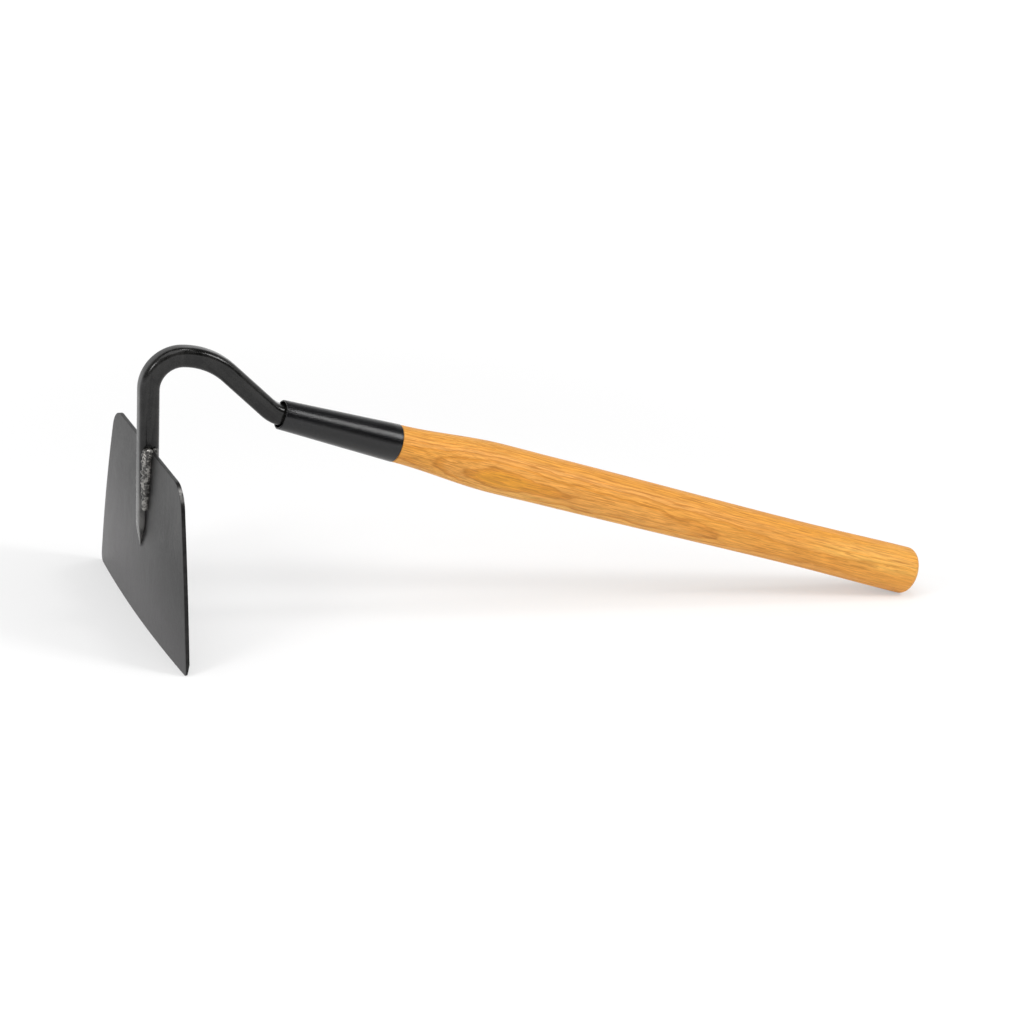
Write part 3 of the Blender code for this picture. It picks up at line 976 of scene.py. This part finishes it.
@dataclass
class Gooseneck:
    """The square bar, from the tang in the wood to the sharpened ridge on the blade."""

    corner: float = 4.0 * MM
    neck_lean: float = math.radians(4.4)
    arch_radius: float = 19.6 * MM
    crown_radius: float = 46.0 * MM
    leg_slope: float = math.radians(40.0)
    leg_length: float = 35.0 * MM
    entry_radius: float = 22.5 * MM
    ridge_length: float = 64.0 * MM
    ridge_point: float = 17.0 * MM
    inner_cheek: float = 30.0 * MM
    inner_slope: float = math.radians(35.0)
    tang_shoulder: float = 14.0 * MM
    tang_length: float = 72.0 * MM
    tang_root: float = 8.5 * MM
    tang_tip: float = 5.0 * MM
    rounding: float = 0.3 * MM

    def sweep(self) -> tuple[Shape, float]:
        """Draw the bar from the tang's tip to the foot of the ridge.

        Returns:
            The bar, and the x of its foot.
        """
        share = self.tang_tip / BAR
        start = GRIP.mouth + GRIP.along * self.tang_length
        path = Sweep(self.tang_tip, self.corner * share, start, GRIP.slope)
        path.straight(self.tang_length - self.tang_shoulder, self.tang_root / self.tang_tip)
        path.straight(self.tang_shoulder, BAR / self.tang_root)
        path.bend(self.leg_slope, self.entry_radius)
        path.straight(self.leg_length)
        path.bend(0.0, self.crown_radius)
        path.bend(-(math.pi / 2 + self.neck_lean), self.arch_radius)
        foot = PLANE.height - self.ridge_length
        path.straight((path.place.z - foot) / math.cos(self.neck_lean))
        path.close()
        bmesh.ops.recalc_face_normals(path.bm, faces=path.bm.faces)
        return path.bm, path.place.x

    def cutters(self, foot_x: float) -> list[Object]:
        """Make the boxes that cut the slit over the blade and the ends of both cheeks.

        Args:
            foot_x: The x of the bar's foot.

        Returns:
            The boxes.
        """
        wide, reach, thick = BAR, self.ridge_length * 1.5, PLANE.thickness
        made = [box_cutter((-GAP, -wide, -reach), (thick + GAP, wide, GAP),
                           PLANE.frame_at(PLANE.height))]
        inner = PLANE.frame_at(PLANE.height - self.inner_cheek) @ Matrix.Translation((thick, 0, 0))
        low, high = (-thick / 4, -wide, -reach), (wide * 3, wide, 0.0)
        made.append(box_cutter(low, high, inner))
        made.append(box_cutter(low, high, inner @ Matrix.Rotation(-self.inner_slope, 4, "Y")))

        tip = PLANE.frame_at(PLANE.height - self.ridge_length)
        outside = foot_x - BAR / 2 / math.cos(self.neck_lean)
        stands = PLANE.face_x(0.0, PLANE.height - self.ridge_length) - outside
        fall = math.atan((stands + GAP) / self.ridge_point)
        made.append(box_cutter((-wide, -wide, -self.ridge_point), (0.0, wide, self.ridge_point * 2),
                               tip @ Matrix.Translation((-GAP * 2, 0, 0))
                               @ Matrix.Rotation(-fall, 4, "Y")))
        for side in Side:
            turn = Matrix.Rotation(side.value * math.atan(BAR / 2 / self.ridge_point), 4, "X")
            start = tip @ Matrix.Translation((0.0, -side.value * GAP, 0.0))
            near, far = sorted((0.0, -side.value * wide))
            made.append(box_cutter((-wide * 1.5, near, -self.ridge_point),
                                   (GAP, far, self.ridge_point * 2), start @ turn))
        return made

    def build(self) -> Object:
        """Build and dress the bar.

        Returns:
            The bar.
        """
        bar, foot_x = self.sweep()
        piece = finished("gooseneck_bar", bar, [ForgedBar().material()])
        cut(piece, self.cutters(foot_x))
        rounded_edges(piece, self.rounding, 2, 38.0)
        settle(piece)
        return set_out(piece, "gooseneck")


@dataclass
class WeldBead:
    """A run of weld puddles down one corner between the bar and the blade."""

    side: Side
    outer: bool
    length: float
    leg: float
    seed: float
    finish: Material
    pitch: float = 2.2 * MM
    overlap: float = 0.95
    spread: float = 0.95
    puddle: float = 0.74
    size_change: float = 0.24
    wander: float = 0.25
    voxel: float = 0.22 * MM

    def jitter(self, step: int, kind: int) -> float:
        """A steady random number from -1 to 1."""
        return noise.noise(Vector((step * 3.7 + 0.31, kind * 5.3 + 0.17, self.seed)))

    def puddles(self) -> Shape:
        """Lay overlapping puddles down the corner, thinner at the run's end.

        Returns:
            The puddles, with +X away from the blade and +Y away from the bar.
        """
        bm = bmesh.new()
        count = round(self.length / self.pitch)
        for step in range(count + 1):
            drop = self.length * step / count
            left = 1 - drop / self.length
            size = self.leg * (0.55 + 0.45 * math.sqrt(left))
            size *= 1 + self.size_change * self.jitter(step, 1)
            centre = Vector((size * (0.28 + self.wander * self.jitter(step, 2)),
                             size * self.spread * (0.3 + self.wander * self.jitter(step, 3)), -drop))
            made = bmesh.ops.create_icosphere(bm, subdivisions=3, radius=1.0)["verts"]
            bmesh.ops.scale(bm, vec=(size * self.puddle, size * self.spread * self.puddle,
                                     self.pitch * self.overlap), verts=made)
            tilt = Matrix.Rotation(0.45 + 0.5 * self.jitter(step, 4), 3, Vector((1, -1, 0)))
            bmesh.ops.rotate(bm, matrix=tilt, verts=made)
            bmesh.ops.translate(bm, vec=centre, verts=made)
        return bm

    def build(self) -> Object:
        """Build and dress the bead.

        Returns:
            The bead.
        """
        word = ("outer_" if self.outer else "inner_") + self.side.name.lower()
        inward = -1.0 if self.outer else 1.0
        face = -GAP if self.outer else PLANE.thickness + GAP
        bm = self.puddles()
        corner = PLANE.frame_at(PLANE.height) @ Matrix.Translation(
            (face, self.side.value * (BAR / 2 + GAP), -GAP))
        flip = Matrix.Diagonal((inward, self.side.value, 1.0, 1.0))
        bmesh.ops.transform(bm, matrix=corner @ flip, verts=bm.verts)
        if flip.determinant() < 0:
            bmesh.ops.reverse_faces(bm, faces=bm.faces)
        piece = finished("weld_" + word, bm, [self.finish])
        skin = piece.modifiers.new("skin", "REMESH")
        skin.mode = "VOXEL"
        skin.voxel_size = self.voxel
        skin.use_smooth_shade = True
        settle(piece)
        return set_out(piece, "weld_bead_" + word)


@dataclass
class Ferrule:
    """The tapered steel tube over the neck of the handle."""

    mouth_diameter: float = 18.4 * MM
    wood_diameter: float = 24.0 * MM
    wall: float = 1.0 * MM
    lip: float = 0.42 * MM
    steps: int = 128
    rings: int = 12

    def build(self) -> Object:
        """Build and dress the ferrule.

        Returns:
            The ferrule.
        """
        length, lip = GRIP.ferrule_length, self.lip
        mouth, wood = self.mouth_diameter / 2, self.wood_diameter / 2
        outline = arc((mouth - self.wall + lip, -lip), lip, 180, 90, 5)
        outline += arc((mouth - lip, -lip), lip, 90, 0, 5)
        for i in range(1, self.rings):
            share = i / self.rings
            outline.append((mouth + (wood - mouth) * share, -lip - (length - 2 * lip) * share))
        outline += arc((wood - lip, lip - length), lip, 0, -90, 5)
        outline.append((wood - self.wall, -length))
        bm = turned(outline, self.steps, GRIP.frame_at(GRIP.mouth), closed=True)
        piece = finished("ferrule_tube", bm, [FerrulePaint().material()])
        return set_out(piece, "ferrule")


@dataclass
class Handle:
    """The turned oak handle, with its tenon in the ferrule."""

    neck_diameter: float = 23.6 * MM
    stations: tuple[Pair, ...] = (
        (72.0 * MM, 31.7 * MM), (112.0 * MM, 31.3 * MM), (295.0 * MM, 29.3 * MM))
    butt_diameter: float = 31.2 * MM
    butt_radius: float = 5.0 * MM
    tenon_length: float = 65.0 * MM
    tenon_nose: float = 16.79 * MM
    tenon_root: float = 21.4 * MM
    neck_round: float = 0.5 * MM
    steps: int = 128
    row: float = 3.0 * MM

    def radius(self, reach: float) -> float:
        """The wood's radius.

        Args:
            reach: The distance from the ferrule.

        Returns:
            The radius there.
        """
        stations = ((0.0, self.neck_diameter), *self.stations,
                    (GRIP.handle_length, self.butt_diameter))
        for (start, first), (end, second) in zip(stations, stations[1:]):
            if reach <= end:
                return (first + (second - first) * ease((reach - start) / (end - start))) / 2
        return self.butt_diameter / 2

    def outline(self) -> list[Pair]:
        """Draw the profile from the tenon's nose to the butt.

        Returns:
            Radii, and heights over the butt.
        """
        length = GRIP.handle_length
        points = [(0.0, length + self.tenon_length), (self.tenon_nose / 2, length + self.tenon_length),
                  (self.tenon_root / 2, length - GAP)]
        edge = self.radius(0.0) - self.neck_round
        points += arc((edge, length - GAP - self.neck_round), self.neck_round, 90, 15, 4)
        start = GAP + 2 * self.neck_round
        rows = math.ceil((length - self.butt_radius - start) / self.row)
        for i in range(rows + 1):
            reach = start + (length - self.butt_radius - start) * i / rows
            points.append((self.radius(reach), length - reach))
        flat = self.butt_diameter / 2 - self.butt_radius
        points += arc((flat, self.butt_radius), self.butt_radius, 0, -90, 12)[1:]
        points += [(flat * share, 0.0) for share in (0.75, 0.5, 0.25, 0.0)]
        return points

    def build(self) -> Object:
        """Build and dress the handle.

        Returns:
            The handle.
        """
        bm = turned(self.outline(), self.steps, GRIP.frame_at(Vector(GRIP.butt)))
        piece = finished("oak_handle", bm, [TurnedOak().material()])
        return set_out(piece, "handle")


# The studio

@dataclass(frozen=True)
class Lamp:
    """A soft rectangular lamp, measured in metres and watts."""

    name: str
    place: Triple
    aim: Triple
    size: Pair
    power: float

    def hang(self) -> Object:
        """Hang the lamp and turn it to its aim.

        Returns:
            The lamp.
        """
        light = bpy.data.lights.new(self.name, "AREA")
        light.shape = "RECTANGLE"
        light.size, light.size_y = self.size
        light.energy = self.power
        lamp = bpy.data.objects.new(self.name, light)
        lamp.location = self.place
        facing = Vector(self.aim) - Vector(self.place)
        lamp.rotation_euler = facing.to_track_quat("-Z", "Y").to_euler()
        bpy.context.scene.collection.objects.link(lamp)
        return lamp


@dataclass(frozen=True)
class Studio:
    """A pale floor, an even white room, a broad lamp overhead and three smaller ones.

    Mirrored rays see the room white at the horizon and behind the tool, and dim elsewhere.
    """

    room: float = 0.54
    horizon: float = 1.0
    near_room: float = 0.03
    far_room: float = 1.0
    ceiling: float = 0.08
    floor_radius: float = 14.0
    floor_pale: float = 0.9
    floor_shade: float = 0.51
    floor_glow: float = 0.42
    lamps: tuple[Lamp, ...] = (
        Lamp("overhead", (-0.6, -0.5, 2.0), (0.0, 0.0, 0.05), (1.7, 1.4), 15.0),
        Lamp("strip", (1.08, -0.78, 1.34), (0.0, 0.0, 0.1), (0.52, 0.68), 11.5),
        Lamp("crown", (0.24, 0.0, 2.0), (0.0, 0.0, 0.1), (0.32, 0.32), 3.6),
        Lamp("front", (-1.75, -0.86, 1.15), (-0.1, 0.0, 0.1), (0.5, 0.5), 10.5))

    def seen(self, g: Graph) -> tuple[Signal, Signal]:
        """Give 1 for a camera ray, and 1 for a glossy or transmission ray."""
        rays = {kind: Signal(g, ray) for kind, ray in g.node("ShaderNodeLightPath").outputs.items()}
        return rays["Is Camera Ray"], g.math("MAXIMUM", rays["Is Glossy Ray"],
                                             rays["Is Transmission Ray"])

    def world(self) -> None:
        """Light the room evenly, and show it white to the camera and, behind the tool, in mirrors."""
        world = bpy.data.worlds.new("studio")
        bpy.context.scene.world = world
        g = Graph(world)
        camera, mirrored = self.seen(g)
        x, y, z = g.parts(g.node("ShaderNodeTexCoord").outputs["Generated"])
        walls = (x * 0.4 + y * 0.92).window(-0.3, 0.5, self.near_room, self.far_room)
        upper = g.mix(z.window(0.35, 0.8), walls, self.ceiling)
        mirror = g.mix(z.window(0.02, 0.16), self.horizon, upper)
        shown = g.mix(camera, g.mix(mirrored, self.room, mirror), 1.0)
        back = g.node("ShaderNodeBackground", {"Color": WHITE, "Strength": shown})
        g.feed(g.output, {"Surface": back.outputs[0]})

    def floor(self) -> Object:
        """Lay the floor, which glows just enough to be white to the camera and keeps shadows.

        Returns:
            The floor.
        """
        material = bpy.data.materials.new("studio_floor")
        g = Graph(material)
        camera, mirrored = self.seen(g)
        plain = g.node("ShaderNodeBsdfDiffuse", {"Color": (self.floor_pale,) * 3})
        shaded = g.node("ShaderNodeBsdfDiffuse", {"Color": (self.floor_shade,) * 3})
        x, y, z = g.parts(g.node("ShaderNodeTexCoord").outputs["Object"])
        away = g.math("SQRT", x * x + y * y).window(0.3, 1.6, self.floor_glow, 1.0)
        glow = g.node("ShaderNodeEmission", {"Color": WHITE, "Strength": away})
        white = g.node("ShaderNodeAddShader", {0: shaded.outputs[0], 1: glow.outputs[0]})
        choose = g.node("ShaderNodeMixShader", {
            0: g.math("MAXIMUM", camera, mirrored), 1: plain.outputs[0], 2: white.outputs[0]})
        g.feed(g.output, {"Surface": choose.outputs[0]})
        bm = bmesh.new()
        bmesh.ops.create_circle(bm, cap_ends=True, radius=self.floor_radius, segments=64)
        floor = finished("studio_floor", bm, [material])
        return floor

    def build(self) -> None:
        """Build the room, its floor and its lamps."""
        bpy.context.scene.view_settings.view_transform = "Standard"
        self.world()
        self.floor()
        for lamp in self.lamps:
            lamp.hang()


@dataclass(frozen=True)
class PhotoCamera:
    """A camera at the photograph's angle, in metres, degrees and, for the lens, millimetres."""

    place: Triple = (-0.882796, -1.960165, 0.828056)
    azimuth: float = 23.7267
    elevation: float = 19.6694
    roll: float = 7.1379
    lens: float = 126.5625
    clip: Pair = (0.05, 60.0)

    def build(self) -> Object:
        """Set up the camera.

        Returns:
            The camera.
        """
        turn, down, roll = (math.radians(v) for v in (self.azimuth, self.elevation, self.roll))
        forward = Vector((math.sin(turn) * math.cos(down), math.cos(turn) * math.cos(down),
                          -math.sin(down)))
        right = Vector((math.cos(turn), -math.sin(turn), 0.0))
        up = right.cross(forward)
        across = right * math.cos(roll) + up * math.sin(roll)
        upward = up * math.cos(roll) - right * math.sin(roll)
        data = bpy.data.cameras.new("photo_camera")
        data.lens = self.lens
        data.clip_start, data.clip_end = self.clip
        camera = bpy.data.objects.new("photo_camera", data)
        axes = Matrix((across, upward, -forward)).transposed().to_4x4()
        camera.matrix_world = Matrix.Translation(self.place) @ axes
        bpy.context.scene.collection.objects.link(camera)
        bpy.context.scene.camera = camera
        return camera


def main() -> None:
    """Build the studio, the camera and every piece of the hoe."""
    logging.basicConfig(level=logging.INFO, format="%(name)s: %(message)s")
    Studio().build()
    PhotoCamera().build()
    weld = WeldMetal().material()
    makers = [Blade(), Gooseneck()]
    for side, seed, leg in ((Side.LEFT, 1.7, 5.0 * MM), (Side.RIGHT, 6.3, 3.2 * MM)):
        makers += [WeldBead(side, True, 36.0 * MM, leg, seed, weld),
                   WeldBead(side, False, 30.0 * MM, 2.6 * MM, seed + 2.0, weld)]
    for maker in (*makers, Ferrule(), Handle()):
        piece = maker.build()
        log.info("%s: %d faces", piece.name, len(piece.data.polygons))
    bpy.context.view_layer.update()


if __name__ == "__main__":
    main()
